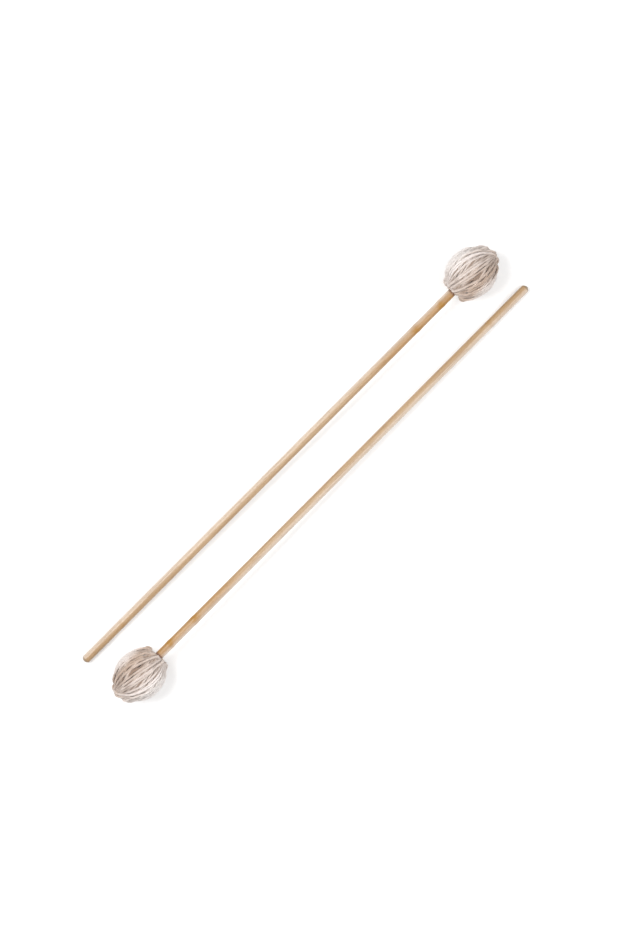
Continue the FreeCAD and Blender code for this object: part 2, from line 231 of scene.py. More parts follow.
class MaterialGraph(Graph):
    """A material's node tree."""

    def __init__(self, name: str) -> None:
        """Start a new material with an empty tree.

        Args:
            name: The material's name.
        """
        self.material = bpy.data.materials.new(name)
        self.material.use_nodes = True
        super().__init__(self.material.node_tree)
        self.tree.nodes.clear()

    def attribute(self, name: str, output: str) -> Socket:
        """An output of the piece's own attribute."""
        return self.add("ShaderNodeAttribute", attribute_name=name).outputs[output]

    def place(self) -> Socket:
        """A point's place in its object."""
        return self.add("ShaderNodeTexCoord").outputs["Object"]

    def mix(self, share: Value, first: Value, second: Value, blend: str = "MIX") -> Socket:
        """Blend two colours.

        Args:
            share: How much of the second colour shows.
            first: The colour or socket at a share of zero.
            second: The colour or socket at a share of one.
            blend: The blend type.

        Returns:
            The blended colour's socket.
        """
        def as_value(colour: Value) -> Value:
            """A colour tuple with its alpha."""
            return (*colour, 1.0) if isinstance(colour, tuple) else colour

        node = self.add(
            "ShaderNodeMix",
            {"Factor_Float": share, "A_Color": as_value(first), "B_Color": as_value(second)},
            data_type="RGBA",
            blend_type=blend,
        )
        return next(s for s in node.outputs if s.identifier == "Result_Color")

    def layered(self, colour: Value, *layers: tuple[Value, Colour]) -> Value:
        """Lay tones over a colour in turn.

        Args:
            colour: The colour or socket at the bottom.
            layers: The share and the tone of each layer.

        Returns:
            The socket of the colour on top.
        """
        for share, tone in layers:
            colour = self.mix(share, colour, tone)
        return colour

    def noise(self, vector: Value, pattern: Pattern) -> Socket:
        """The value of a noise.

        Args:
            vector: The vector that it is read at.
            pattern: Its form.

        Returns:
            The value's socket.
        """
        if pattern.stretch:
            vector = self.add("ShaderNodeMapping", {"Vector": vector, "Scale": pattern.stretch})
        inputs = {
            "Vector": vector, "Scale": pattern.scale, "Detail": pattern.detail,
            "Distortion": pattern.distortion,
        }
        return self.add("ShaderNodeTexNoise", inputs).outputs[0]

    def ranged(
        self, value: Value, low: float, high: float, to_low: float = 0.0, to_high: float = 1.0
    ) -> Socket:
        """A value mapped smoothly from one range to another."""
        inputs = {
            "Value": value, "From Min": low, "From Max": high, "To Min": to_low, "To Max": to_high,
        }
        return self.add("ShaderNodeMapRange", inputs, interpolation_type="SMOOTHSTEP").outputs[0]

    def bump(self, height: Value, strength: float, distance: float) -> Node:
        """A bump of a height in metres."""
        inputs = {"Height": height, "Strength": strength, "Distance": distance}
        return self.add("ShaderNodeBump", inputs)

    def finish(self, constants: dict[str, Value], **linked: Value) -> Material:
        """End the tree in a surface shader.

        Args:
            constants: The shader's values that are the same all over.
            linked: Sockets or nodes for its base colour, roughness and normal.

        Returns:
            The finished material.
        """
        names = {"colour": "Base Color", "roughness": "Roughness", "normal": "Normal"}
        inputs = {names[key]: value for key, value in linked.items()}
        shader = self.add("ShaderNodeBsdfPrincipled", {**constants, **inputs})
        self.add("ShaderNodeOutputMaterial", {"Surface": shader})
        return self.material


@dataclass(frozen=True)
class YarnFinish:
    """Soft, loosely spun cream yarn with painted shade where it lies deep, painted shadow in the
    gaps between strands and painted shade on a head's inner side; the depth shade is weaker on
    the outer side, as painted light, and both rims get a painted highlight.

    The spans of the painted inner shade, of the fading of the depth shade and of the two rim
    highlights are distances from the middle line between the two mallets, in metres. The shares
    say how much the shade and the two rims show. A ramp has the range of what it reads and then
    the range that this becomes.
    """

    name: str
    # Painted highlight: the near white laid over both rims of a head.
    pale: Colour = linear(250, 246, 244)
    light: Colour = linear(236, 227, 223)
    mid: Colour = linear(214, 201, 192)
    # Painted shade: the tone that deep points are darkened towards; it is also the tone of the
    # fibre streaks.
    fibre_and_shade_tone: Colour = linear(138, 118, 105)
    # Painted shadow: the tone of the deepest gaps between strands.
    gap_shadow: Colour = linear(84, 68, 58)
    # Painted shade: the tone laid over the inner side of a head, towards the other mallet.
    inner_shade: Colour = linear(212, 196, 181)
    inner_shade_rise: Span = (0.0, 0.007)
    inner_shade_fall: Span = (0.003, 0.026)
    # Painted light: the span over which the painted depth shade fades on the outer side of a head.
    shade_fall: Span = (0.016, 0.032)
    outer_rim_highlight: Span = (0.022, 0.033)
    inner_rim_highlight: Span = (0.006, 0.0)
    blotches: Pattern = Pattern(0.22, 2.0)
    fibres: Pattern = Pattern(2.6, 4.0, 0.6, (1.0, 1.0, 0.35))
    hairs: Pattern = Pattern(8.0, 3.0, 0.3, (1.0, 1.0, 0.12))
    plies: Pattern = Pattern(1.1, 1.0, 0.0, (1.0, 1.0, 0.12))
    drift: Ramp = (0.3, 0.7, -0.25, 0.25)
    fibre_shade: Ramp = (0.35, 0.65, 0.16, 0.0)
    hair_shade: Ramp = (0.35, 0.6, 0.2, 0.0)
    shade_shares: Span = (1.0, 0.6)
    rim_highlight_shares: Span = (0.9, 0.5)
    gap_shade: Ramp = (0.5, 1.0, 0.0, 0.8)
    roughness: float = 0.95
    sheen: float = 0.5
    hair_relief: float = 0.8
    relief: float = 0.22

    def material(self) -> Material:
        """Build the material.

        Returns:
            The finished material.
        """
        graph = MaterialGraph(self.name)
        ring = graph.attribute(RING_PLACE, "Vector")
        blotch = graph.noise(graph.attribute(PLACE, "Vector"), self.blotches)
        drift = graph.ranged(blotch, *self.drift)
        tone = graph.math("ADD", graph.attribute(TONE, "Fac"), drift, clamp=True)
        fibre, hairs, ply = (
            graph.noise(ring, pattern) for pattern in (self.fibres, self.hairs, self.plies)
        )
        # Painted light: the depth shade weakens towards the outer side of each head, as if lit from
        # there.
        shade = graph.ranged(self.aside(graph), *self.shade_fall, *self.shade_shares)
        # Painted shade: the share of the darker tone, which grows with how deep a point lies.
        depth = graph.math("MULTIPLY", graph.attribute(DEPTH_SHADE, "Fac"), shade)
        colour = graph.layered(
            self.sided(graph, graph.mix(tone, self.mid, self.light)),
            (graph.ranged(fibre, *self.fibre_shade), self.fibre_and_shade_tone),
            (graph.ranged(hairs, *self.hair_shade), self.fibre_and_shade_tone),
            # Painted shade in the deep layers and painted shadow in the gaps between strands.
            (depth, self.fibre_and_shade_tone),
            (graph.ranged(depth, *self.gap_shade), self.gap_shadow),
        )
        height = graph.math("ADD", fibre, ply)
        height = graph.math("ADD", height, graph.math("MULTIPLY", hairs, self.hair_relief))
        constants = {
            "Roughness": self.roughness, "Specular IOR Level": 0.15,
            "Sheen Weight": self.sheen, "Sheen Roughness": 0.5,
        }
        normal = graph.bump(height, 0.5, self.relief * MM)
        return graph.finish(constants, colour=colour, normal=normal)

    def aside(self, graph: MaterialGraph) -> Node:
        """How far a point is from the middle line between the two mallets."""
        return graph.math("ABSOLUTE", graph.split(graph.place())["Y"])

    def sided(self, graph: MaterialGraph, colour: Socket) -> Socket:
        """The yarn's colour, with painted shade on the inner side of a head and a painted highlight
        at both of its rims.

        Args:
            graph: The material's graph.
            colour: The colour to change.

        Returns:
            The changed colour's socket.
        """
        aside = self.aside(graph)
        # Painted shade on the inner side of each head, fading towards its outer side.
        fall = graph.ranged(aside, *self.inner_shade_fall, 1.0, 0.0)
        inner = graph.math("MULTIPLY", fall, graph.ranged(aside, *self.inner_shade_rise))
        colour = graph.mix(inner, colour, self.inner_shade, "MULTIPLY")
        # Painted highlight at the outer and at the inner rim of each head.
        outer, inner = (
            graph.ranged(aside, *rim, 0.0, share)
            for rim, share in zip((self.outer_rim_highlight, self.inner_rim_highlight), self.rim_highlight_shares)
        )
        return graph.mix(graph.math("ADD", outer, inner), colour, self.pale)


@dataclass(frozen=True)
class MottledFinish:
    """Two tones of one stuff that mix in soft spots, with a fine grain where it has one."""

    name: str
    first: Colour
    second: Colour
    spots: Pattern
    roughness: float
    limits: Span = (0.35, 0.65)
    specular: float = 0.5
    sheen: float = 0.0
    grain: Pattern | None = None
    grain_strength: float = 0.3
    relief: float = 0.1

    def material(self) -> Material:
        """Build the material.

        Returns:
            The finished material.
        """
        graph = MaterialGraph(self.name)
        place = graph.place()
        share = graph.ranged(graph.noise(place, self.spots), *self.limits)
        linked = {"colour": graph.mix(share, self.first, self.second)}
        if self.grain:
            height = graph.noise(place, self.grain)
            linked["normal"] = graph.bump(height, self.grain_strength, self.relief * MM)
        constants = {
            "Roughness": self.roughness, "Specular IOR Level": self.specular,
            "Sheen Weight": self.sheen,
        }
        return graph.finish(constants, **linked)


@dataclass(frozen=True)
class ThreadFinish:
    """Tightly twisted binding thread with a faint gloss."""

    name: str
    pale: Colour = linear(224, 206, 190)
    dark: Colour = linear(160, 132, 108)
    twists: Pattern = Pattern(3.0, 3.0, 0.0, (1.0, 1.0, 0.2))
    limits: Span = (0.3, 0.7)
    relief: float = 0.1

    def material(self) -> Material:
        """Build the material.

        Returns:
            The finished material.
        """
        graph = MaterialGraph(self.name)
        ring = graph.attribute(RING_PLACE, "Vector")
        twist = graph.noise(ring, self.twists)
        colour = graph.mix(graph.ranged(twist, *self.limits), self.dark, self.pale)
        return graph.finish(
            {"Roughness": 0.7, "Specular IOR Level": 0.3, "Sheen Weight": 0.1},
            colour=colour,
            normal=graph.bump(twist, 0.5, self.relief * MM),
        )


@dataclass(frozen=True)
class RattanFinish:
    """Sanded, lacquered rattan: long grain, pores, golden marks at the growth rings, a dull butt
    and painted light on its outer side.

    The middle and the neck are given in shares of the length. A ramp has the range of what it
    reads and then the range that this becomes. Each mark has its level, spread and weight.
    """

    name: str
    butt_tone: Colour = linear(172, 142, 106)
    middle_tone: Colour = linear(182, 154, 121)
    neck_tone: Colour = linear(166, 122, 62)
    # Painted light: the pale tone laid over the shaft's outer side.
    lit_side: Colour = linear(220, 205, 190)
    grain_tone: Colour = linear(138, 104, 68)
    mark_tone: Colour = linear(158, 112, 36)
    mouth_tone: Colour = linear(104, 62, 38)
    end_tone: Colour = linear(128, 108, 84)
    waves: Pattern = Pattern(1.0, 2.0, 0.0, (0.12, 0.12, 0.02))
    streaks: Pattern = Pattern(1.3, 4.0, 0.4, (1.0, 1.0, 0.03))
    pores: Pattern = Pattern(5.5, 2.0, 0.0, (1.0, 1.0, 0.09))
    drift: Ramp = (0.3, 0.7, -30.0, 30.0)
    middle: Span = (0.0, 0.55)
    neck: Span = (0.72, 1.02)
    lit_side_rise: Ramp = (-0.9, 3.0, 0.0, 0.85)
    streak_shade: Ramp = (0.42, 0.68, 0.0, 0.36)
    fleck_shade: Ramp = (0.53, 0.68, 0.0, 0.5)
    end_shade: Ramp = (2.2, 1.4, 0.0, 0.6)
    mouth_reach: Span = (-1.0, 0.4)
    mouth_shade: Span = (0.0, 0.85)
    gloss: Ramp = (0.3, 0.7, 0.4, 0.55)
    relief: float = 0.06
    length: float = 349.7
    marks: tuple[Triple, ...] = ((339.4, 3.6, 0.95), (316.0, 5.4, 0.85), (36.0, 3.0, 0.35))
    mark_facing: Ramp = (-1.0, 2.8, 1.0, 0.3)

    def material(self) -> Material:
        """Build the material.

        Returns:
            The finished material.
        """
        graph = MaterialGraph(self.name)
        place = graph.attribute(PLACE, "Vector")
        parts = graph.split(place)
        side, along = parts["Y"], parts["Z"]
        wave, streak, pores = (
            graph.noise(place, pattern) for pattern in (self.waves, self.streaks, self.pores)
        )
        drift = graph.math("ADD", along, graph.ranged(wave, *self.drift))
        middle, neck = (
            graph.ranged(drift, *(share * self.length for share in span))
            for span in (self.middle, self.neck)
        )
        flecks = graph.ranged(pores, *self.fleck_shade)
        facing = graph.ranged(side, *self.mark_facing)
        mouth = (self.length + reach for reach in self.mouth_reach)
        marks = (self.mark(graph, along, wave, facing, *mark) for mark in self.marks)
        colour = graph.layered(
            self.butt_tone,
            (middle, self.middle_tone),
            (neck, self.neck_tone),
            # Painted light on the shaft's outer side.
            (graph.ranged(side, *self.lit_side_rise), self.lit_side),
            (graph.ranged(streak, *self.streak_shade), self.grain_tone),
            (flecks, self.grain_tone),
            *((share, self.mark_tone) for share in marks),
            (graph.ranged(along, *self.end_shade), self.end_tone),
            (graph.ranged(along, *mouth, *self.mouth_shade), self.mouth_tone),
        )
        height = graph.math("SUBTRACT", graph.math("MULTIPLY", streak, 0.4), flecks)
        return graph.finish(
            {"Specular IOR Level": 0.4, "Coat Weight": 0.4, "Coat Roughness": 0.2, "Coat IOR": 1.5},
            colour=colour,
            roughness=graph.ranged(streak, *self.gloss),
            normal=graph.bump(height, 0.25, self.relief * MM),
        )

    def mark(
        self, graph: MaterialGraph, along: Value, wave: Value, facing: Value,
        level: float, spread: float, weight: float,
    ) -> Node:
        """How much of the golden mark shows round a level of the shaft.

        Args:
            graph: The material's graph.
            along: The distance from the butt in millimetres.
            wave: A slow noise that makes the mark uneven.
            facing: How strongly the mark shows on this side of the shaft.
            level: Where the mark is strongest.
            spread: How far it reaches.
            weight: How much of it shows at its middle.

        Returns:
            The share of the mark's colour.
        """
        off = graph.math("ABSOLUTE", graph.math("SUBTRACT", along, level))
        off = graph.math("ADD", off, graph.ranged(wave, 0.35, 0.65, -spread * 0.5, spread * 0.5))
        return graph.math("MULTIPLY", graph.ranged(off, spread, 0.0, 0.0, weight), facing)


class GeometryGraph(Graph):
    """A Geometry Nodes tree with named inputs, whose result becomes a plain mesh."""

    def __init__(self, name: str) -> None:
        """Start a tree with its geometry input and output.

        Args:
            name: The tree's name.
        """
        super().__init__(bpy.data.node_groups.new(name, "GeometryNodeTree"))
        self.tree.is_modifier = True
        kind = "NodeSocketGeometry"
        for way in ("OUTPUT", "INPUT"):
            self.tree.interface.new_socket("Geometry", in_out=way, socket_type=kind)
        self.entry = self.tree.nodes.new("NodeGroupInput")

    def given(self, name: str, kind: str = "Float") -> Socket:
        """A named input of the tree, made when it is first asked for.

        Args:
            name: The input's name.
            kind: The kind of socket, such as Float, Int or Material.

        Returns:
            The input's socket inside the tree.
        """
        if name not in self.entry.outputs:
            self.tree.interface.new_socket(name, in_out="INPUT", socket_type=f"NodeSocket{kind}")
        return self.entry.outputs[name]

    def named(self, name: str, kind: str = "FLOAT") -> Node:
        """The value of one of the mesh's own attributes."""
        return self.add("GeometryNodeInputNamedAttribute", {"Name": name}, data_type=kind)

    def stored(self, geometry: Value, name: str, value: Value, kind: str) -> Node:
        """The geometry with a value kept as an attribute of its points."""
        return self.add(
            "GeometryNodeStoreNamedAttribute",
            {"Geometry": geometry, "Name": name, "Value": value},
            data_type=kind,
            domain="POINT",
        )

    def close(self, geometry: Value) -> None:
        """End the tree in real geometry with its material.

        Args:
            geometry: The geometry, which may hold instances.
        """
        real = self.add("GeometryNodeRealizeInstances", {"Geometry": geometry})
        smooth = self.add("GeometryNodeSetShadeSmooth", {"Geometry": real})
        inputs = {"Geometry": smooth, "Material": self.given("Material", "Material")}
        self.add("NodeGroupOutput", {0: self.add("GeometryNodeSetMaterial", inputs)})

    def ring(self, sides: Value, radius: Value) -> Node:
        """A round section for a tube."""
        inputs = {"Resolution": sides, "Radius": radius}
        return self.add("GeometryNodeCurvePrimitiveCircle", inputs, mode="RADIUS")

    def swept(self, line: Value, section: Value, scale: Value) -> Node:
        """A closed tube along a line."""
        return self.add(
            "GeometryNodeCurveToMesh",
            {"Curve": line, "Profile Curve": section, "Scale": scale, "Fill Caps": True},
        )

    def applied(self, name: str, mesh: Mesh, values: dict[str, Value]) -> Piece:
        """Run the tree on a mesh.

        Args:
            name: The name of the finished piece.
            mesh: The mesh that the tree starts from.
            values: The tree's inputs by name.

        Returns:
            A new object with the plain mesh that the tree makes.
        """
        source = put(name + "_source", mesh)
        modifier = source.modifiers.new("nodes", "NODES")
        modifier.node_group = self.tree
        for item in self.tree.interface.items_tree:
            if item.item_type == "SOCKET" and item.in_out == "INPUT" and item.name in values:
                modifier[item.identifier] = values[item.name]
        graph = bpy.context.evaluated_depsgraph_get()
        made = bpy.data.meshes.new_from_object(source.evaluated_get(graph), depsgraph=graph)
        made.name = name
        piece = put(name, made)
        bpy.data.objects.remove(source)
        return piece


class TubeTree(GeometryGraph):
    """Turns a line into a spun yarn: a lobed section that twists along it."""

    def __init__(self) -> None:
        """Build the tree."""
        super().__init__("spun_yarn")
        line = self.add("GeometryNodeMeshToCurve", {"Mesh": self.entry.outputs[0]})
        run = self.add("GeometryNodeSplineParameter").outputs["Length"]
        turn = self.math("DIVIDE", self.math("MULTIPLY", run, 2 * math.pi), self.given("Ply Pitch"))
        tilted = self.add("GeometryNodeSetCurveTilt", {"Curve": line, "Tilt": turn})
        size = self.math("MULTIPLY", self.given("Radius"), self.named("width").outputs[0])
        share = self.add("GeometryNodeSplineParameter").outputs["Factor"]
        circle = self.ring(self.given("Sides", "Int"), 1.0)
        angle = self.math("MULTIPLY", share, self.given("Plies"))
        lobe = self.math("COSINE", self.math("MULTIPLY", angle, 2 * math.pi))
        swell = self.math("ADD", self.math("MULTIPLY", lobe, self.given("Ply Rise")), 1.0)
        spot = self.add("GeometryNodeInputPosition")
        pushed = self.add("ShaderNodeVectorMath", {0: spot, "Scale": swell}, operation="SCALE")
        section = self.add("GeometryNodeSetPosition", {"Geometry": circle, "Position": pushed})
        kept = self.stored(section, "around", self.add("GeometryNodeInputPosition"), "FLOAT_VECTOR")
        long_run = self.stored(tilted, "run", self.math("DIVIDE", run, MM), "FLOAT")
        tube = self.swept(long_run, kept, size)
        flat = self.split(self.named("around", "FLOAT_VECTOR").outputs[0])
        place = self.add(
            "ShaderNodeCombineXYZ",
            {"X": flat["X"], "Y": flat["Y"], "Z": self.named("run").outputs[0]},
        )
        self.close(self.stored(tube, RING_PLACE, place, "FLOAT_VECTOR"))


class FibreTree(GeometryGraph):
    """Scatters fine curved fibres over a yarn, most of them near the outside.

    A fibre's tip and bend are in shares of its length: the tip's offset, the sag and its place.
    """

    thinning: float = 3.0
    bend: Triple = (0.55, 0.25, 0.5)
    taper: float = 0.7
    lean: Triple = (1.35, 1.35, math.pi)
    sizes: tuple[Triple, Triple] = ((0.5, 0.5, 0.4), (1.0, 1.0, 1.3))

    def __init__(self) -> None:
        """Build the tree."""
        super().__init__("loose_fibres")
        seed = self.given("Seed", "Int")
        sunk = self.math("MULTIPLY", self.named(DEPTH_SHADE).outputs[0], self.thinning)
        shallow = self.math("SUBTRACT", 1.0, sunk, clamp=True)
        density = self.math("MULTIPLY", self.given("Density"), shallow)
        points = self.add(
            "GeometryNodeDistributePointsOnFaces",
            {"Mesh": self.entry.outputs[0], "Density": density, "Seed": seed},
            distribute_method="RANDOM",
        )
        length = self.given("Length")
        aside, sag, half = (self.math("MULTIPLY", length, share) for share in self.bend)
        tip = self.add("ShaderNodeCombineXYZ", {"X": aside, "Z": length})
        bend = self.add("ShaderNodeCombineXYZ", {"Y": sag, "Z": half})
        arc = self.add(
            "GeometryNodeCurveQuadraticBezier",
            {"Resolution": 3, "Start": (0.0, 0.0, 0.0), "Middle": bend, "End": tip},
        )
        run = self.add("GeometryNodeSplineParameter").outputs["Factor"]
        taper = self.math("SUBTRACT", 1.0, self.math("MULTIPLY", run, self.taper))
        fibre = self.swept(arc, self.ring(3, self.given("Thickness")), taper)
        lean = self.random(tuple(-most for most in self.lean), self.lean, seed)
        euler = self.add("FunctionNodeEulerToRotation", {0: lean})
        upright = points.outputs["Rotation"]
        turned = self.add(
            "FunctionNodeRotateRotation", {0: upright, 1: euler}, rotation_space="LOCAL"
        )
        size = self.random(*self.sizes, self.math("ADD", seed, 5.0))
        spread = self.add(
            "GeometryNodeInstanceOnPoints",
            {"Points": points, "Instance": fibre, "Rotation": turned, "Scale": size},
        )
        self.close(spread)

    def random(self, low: Triple, high: Triple, seed: Value) -> Socket:
        """A random vector for each point."""
        inputs = {"Min": low, "Max": high, "Seed": seed}
        return self.add("FunctionNodeRandomValue", inputs, data_type="FLOAT_VECTOR").outputs[0]


@dataclass
class PieceMaker:
    """Makes pieces of one mallet, in its own millimetres, and hands them to the frame."""

    mallet: Mallet
    sizes: MalletSizes
    tube_tree: TubeTree

    def __post_init__(self) -> None:
        """Keep the mallet's lying place."""
        self.lying = np.array(self.sizes.lying(self.mallet))

    def name(self, piece: str) -> str:
        """The full name of one of the mallet's pieces."""
        return f"{piece}_{self.mallet.value}"

    def placed(self, points: Array) -> Array:
        """Points of the mallet in the frame's metres."""
        return points @ self.lying[:3, :3].T + self.lying[:3, 3]

    def own_places(self, mesh: Mesh) -> Array:
        """The points of a lying mesh in the mallet's own millimetres."""
        return (spots_of(mesh) - self.lying[:3, 3]) @ np.linalg.inv(self.lying[:3, :3]).T

    def mesh(self, name: str, points: Array, edges: list, faces: list) -> Mesh:
        """A mesh in its lying place that keeps its points' own places as an attribute.

        Args:
            name: The mesh's name.
            points: Its points in the mallet's millimetres.
            edges: Its edges, where it has no faces.
            faces: Its faces.

        Returns:
            The mesh.
        """
        mesh = bpy.data.meshes.new(name)
        mesh.from_pydata(self.placed(points).tolist(), edges, faces)
        self.keep(mesh, PLACE, points, "FLOAT_VECTOR")
        mesh.update()
        return mesh

    @staticmethod
    def keep(mesh: Mesh, name: str, values: Array, kind: str = "FLOAT") -> None:
        """Keep values as an attribute of a mesh's points."""
        layer = mesh.attributes.new(name, kind, "POINT")
        layer.data.foreach_set("vector" if kind == "FLOAT_VECTOR" else "value", np.ravel(values))

    def tube(
        self,
        piece: str,
        points: Array,
        radius: float,
        material: Material,
        layers: Layers | None = None,
        sides: int = 12,
        plies: int = 3,
        rise: float = 0.07,
        pitch: float = 7.0,
    ) -> Piece:
        """A spun yarn or thread along a line.

        Args:
            piece: The piece's name without the mallet.
            points: The line, in the mallet's millimetres.
            radius: The yarn's radius.
            material: Its material.
            layers: Attributes of the line's points.
            sides: How many sides its section has.
            plies: How many plies it is spun from.
            rise: How far each ply stands out, as a share of the radius.
            pitch: The length of one turn of its twist.

        Returns:
            The yarn as a plain mesh.
        """
        name = self.name(piece)
        mesh = self.mesh(name + "_line", points, [(i, i + 1) for i in range(len(points) - 1)], [])
        for key, plain in (("width", 1.0), (TONE, 0.6), (DEPTH_SHADE, 0.0)):
            self.keep(mesh, key, (layers or {}).get(key, np.full(len(points), plain)))
        values = {
            "Radius": radius * MM, "Sides": sides, "Plies": float(plies), "Ply Rise": rise,
            "Ply Pitch": pitch * MM, "Material": material,
        }
        made = self.tube_tree.applied(name, mesh, values)
        self.rest_on_floor(made.data)
        return made

    @staticmethod
    def rest_on_floor(mesh: Mesh) -> None:
        """Press what would reach under the floor flat onto it, as a soft yarn is.

        Args:
            mesh: The mesh in its lying place.
        """
        spots = spots_of(mesh)
        spots[:, 2] = np.maximum(spots[:, 2], FLOOR_CLEARANCE)
        mesh.vertices.foreach_set("co", spots.ravel())
        mesh.update()

    def turned(
        self, piece: str, outline: Array, material: Material, segments: int = 96,
        closed: bool = True,
    ) -> Piece:
        """A piece turned about the mallet's axis.

        Args:
            piece: The piece's name without the mallet.
            outline: Its outline as (radius, level), anticlockwise, in millimetres.
            material: Its material.
            segments: How many faces go round it.
            closed: Whether the outline closes on itself rather than on the axis.

        Returns:
            The turned piece.
        """
        count = len(outline)
        angles = np.arange(segments) * 2 * math.pi / segments
        points = []
        rows = []
        for radius, level in outline:
            if radius == 0:
                rows.append([len(points)] * segments)
                points.append((0, 0, level))
            else:
                rows.append(list(range(len(points), len(points) + segments)))
                points += [(radius * math.cos(a), radius * math.sin(a), level) for a in angles]
        faces = []
        for row in range(count if closed else count - 1):
            low, high = rows[row], rows[(row + 1) % count]
            for i in range(segments):
                j = (i + 1) % segments
                corners = list(dict.fromkeys((low[i], low[j], high[j], high[i])))
                if len(corners) > 2:
                    faces.append(corners)
        mesh = self.mesh(self.name(piece), np.array(points, float), [], faces)
        mesh.materials.append(material)
        mesh.shade_smooth()
        return put(self.name(piece), mesh)

    def hand_over(self, piece: Piece, slot: str, *nodes: str) -> Piece:
        """Let a piece ride on its mallet and stand for CAD nodes.

        Args:
            piece: The piece.
            slot: Not used.
            nodes: The CAD nodes that it stands for, without the mallet.

        Returns:
            The same piece.
        """
        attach(piece, self.mallet.body)
        if nodes:
            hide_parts(*(self.name(node) for node in nodes))
        log.info("%s: %d faces", piece.name, len(piece.data.polygons))
        return piece


@dataclass
class HeadOutline:
    """The outside of a wound head, as a line from its neck over the belly to its crown's pole.

    The corners are (radius, level), the levels from the foot of the head.
    """

    sizes: MalletSizes
    corners: tuple[Span, ...] = (
        (2.8, 1.4), (4.6, 0.5), (6.7, 0.3), (8.9, 0.9), (10.9, 2.6), (12.6, 5.4), (14.1, 8.5),
        (15.4, 12.4), (16.3, 16.0), (16.65, 19.6), (16.2, 23.2), (15.0, 27.0), (13.1, 31.0),
        (10.7, 34.5), (9.3, 36.1), (8.0, 37.4), (6.5, 38.5), (5.0, 39.3), (3.3, 40.0),
        (1.6, 40.4), (0.0, 40.5),
    )
    samples: int = 400
    stride: int = 4
    softness: int = 21
    ring_power: int = 6
    ring_margin: float = 1.0005

    def __post_init__(self) -> None:
        """Lay a smooth line through the corners."""
        corners = np.array(self.corners)
        run = lengths(corners)
        places = np.linspace(0, run[-1], self.samples)
        line = np.stack([np.interp(places, run, corners[:, i]) for i in (0, 1)], axis=1)
        line = np.stack([smoothed(line[:, i], self.softness) for i in (0, 1)], axis=1)
        self.run = lengths(line)
        self.radius = np.maximum(line[:, 0], 0)
        self.level = line[:, 1]
        slope = np.gradient(line, self.run, axis=0)
        slope /= np.linalg.norm(slope, axis=1)[:, None]
        self.out = np.stack([slope[:, 1], -slope[:, 0]], axis=1)
        self.widest = int(np.argmax(self.radius))

    def at(self, run: Array, values: Array) -> Array:
        """Values of the line at places along it."""
        return np.interp(run, self.run, values)

    def neck_place(self, ring: float) -> float:
        """Where the line has a radius on its neck's side."""
        return float(np.interp(ring, self.radius[: self.widest], self.run[: self.widest]))

    def crown_place(self, ring: float) -> float:
        """Where the line has a radius on its crown's side."""
        side = slice(self.widest, None)
        return float(np.interp(-ring, -self.radius[side], self.run[side]))

    def turned(self, places: Array, ring: Array) -> Array:
        """How far a taut yarn turns round the axis along its course.

        Args:
            places: Its places along the outline.
            ring: The radius of the ring that it would touch, for each step of the course.

        Returns:
            The angles of the places, from zero.
        """
        middle = (places[:-1] + places[1:]) / 2
        radius = np.maximum(self.at(middle, self.radius), ring * self.ring_margin)
        rate = ring / (radius * np.sqrt(radius**2 - ring**2))
        return np.concatenate([[0], np.cumsum(rate * np.abs(np.diff(places)))])

    def sweep(
        self, neck_ring: float, crown_ring: float, lean: float, steps: int = 240
    ) -> tuple[Array, Array]:
        """The course of a yarn that touches a ring at the neck and one at the crown.

        Args:
            neck_ring: The radius of the ring at the neck.
            crown_ring: The radius of the ring at the crown.
            lean: The radius of the ring that it would touch from its slant over the belly.
            steps: How many steps the course has.

        Returns:
            The places along the outline and the angles round the axis.
        """
        first, last = self.neck_place(neck_ring), self.crown_place(crown_ring)
        places = eased(first, last, steps)
        share = ((places[:-1] + places[1:]) / 2 - first) / (last - first)
        ring = lean + (neck_ring - lean) * (1 - share) ** self.ring_power
        ring += (crown_ring - lean) * share**self.ring_power
        return places, self.turned(places, ring)

    def depth(self, points: Array) -> Array:
        """How far points of the mallet lie under the outline.

        Args:
            points: The points in the mallet's millimetres.

        Returns:
            Their depths, less than nought for what lies outside.
        """
        radius, level = np.hypot(points[:, 0], points[:, 1]), points[:, 2] - self.sizes.head_base
        flat = np.stack([radius, level], axis=1)
        line = np.stack([self.radius, self.level], axis=1)
        away = ((flat[:, None, :] - line[None, :: self.stride, :]) ** 2).sum(axis=2)
        nearest = away.argmin(axis=1) * self.stride
        return ((line[nearest] - flat) * self.out[nearest]).sum(axis=1)

    def points(self, run: Array, angle: Array, out: Array) -> Array:
        """Points off the outline.

        Args:
            run: Places along the outline.
            angle: Angles round the axis.
            out: How far outside the outline the points lie.

        Returns:
            The points in the mallet's millimetres.
        """
        radius = self.at(run, self.radius) + out * self.at(run, self.out[:, 0])
        level = self.at(run, self.level) + out * self.at(run, self.out[:, 1])
        return round_axis(radius, angle, level + self.sizes.head_base)


def round_axis(radius: Value, angle: Array, level: Array) -> Array:
    """Points round the axis."""
    return np.stack([radius * np.cos(angle), radius * np.sin(angle), level], axis=1)


def lengths(points: Array) -> Array:
    """How far each point of a line is from its start, along the line."""
    return np.concatenate([[0], np.cumsum(np.linalg.norm(np.diff(points, axis=0), axis=1))])


def eased(first: float, last: float, steps: int) -> Array:
    """Places from one to another, closer together towards both ends."""
    return first + (last - first) * (1 - np.cos(np.linspace(0, math.pi, steps + 1))) / 2


def smooth_share(values: Array) -> Array:
    """Values held between nought and one, with a smooth start and end."""
    share = np.clip(values, 0, 1)
    return share**2 * (3 - 2 * share)


def smoothed(values: Array, width: int) -> Array:
    """Values averaged with their neighbours, with the ends kept.

    Args:
        values: The values in their order.
        width: How many neighbours count.

    Returns:
        As many values, smoothed.
    """
    half = width // 2
    before = 2 * values[0] - values[half:0:-1]
    after = 2 * values[-1] - values[-2 : -half - 2 : -1]
    padded = np.concatenate([before, values, after])
    return np.convolve(padded, np.ones(2 * half + 1) / (2 * half + 1), "valid")


@dataclass
class Course:
    """One pass of yarn: where it runs, how high it lies and its tone."""

    run: Array
    angle: Array
    height: Array
    tone: float


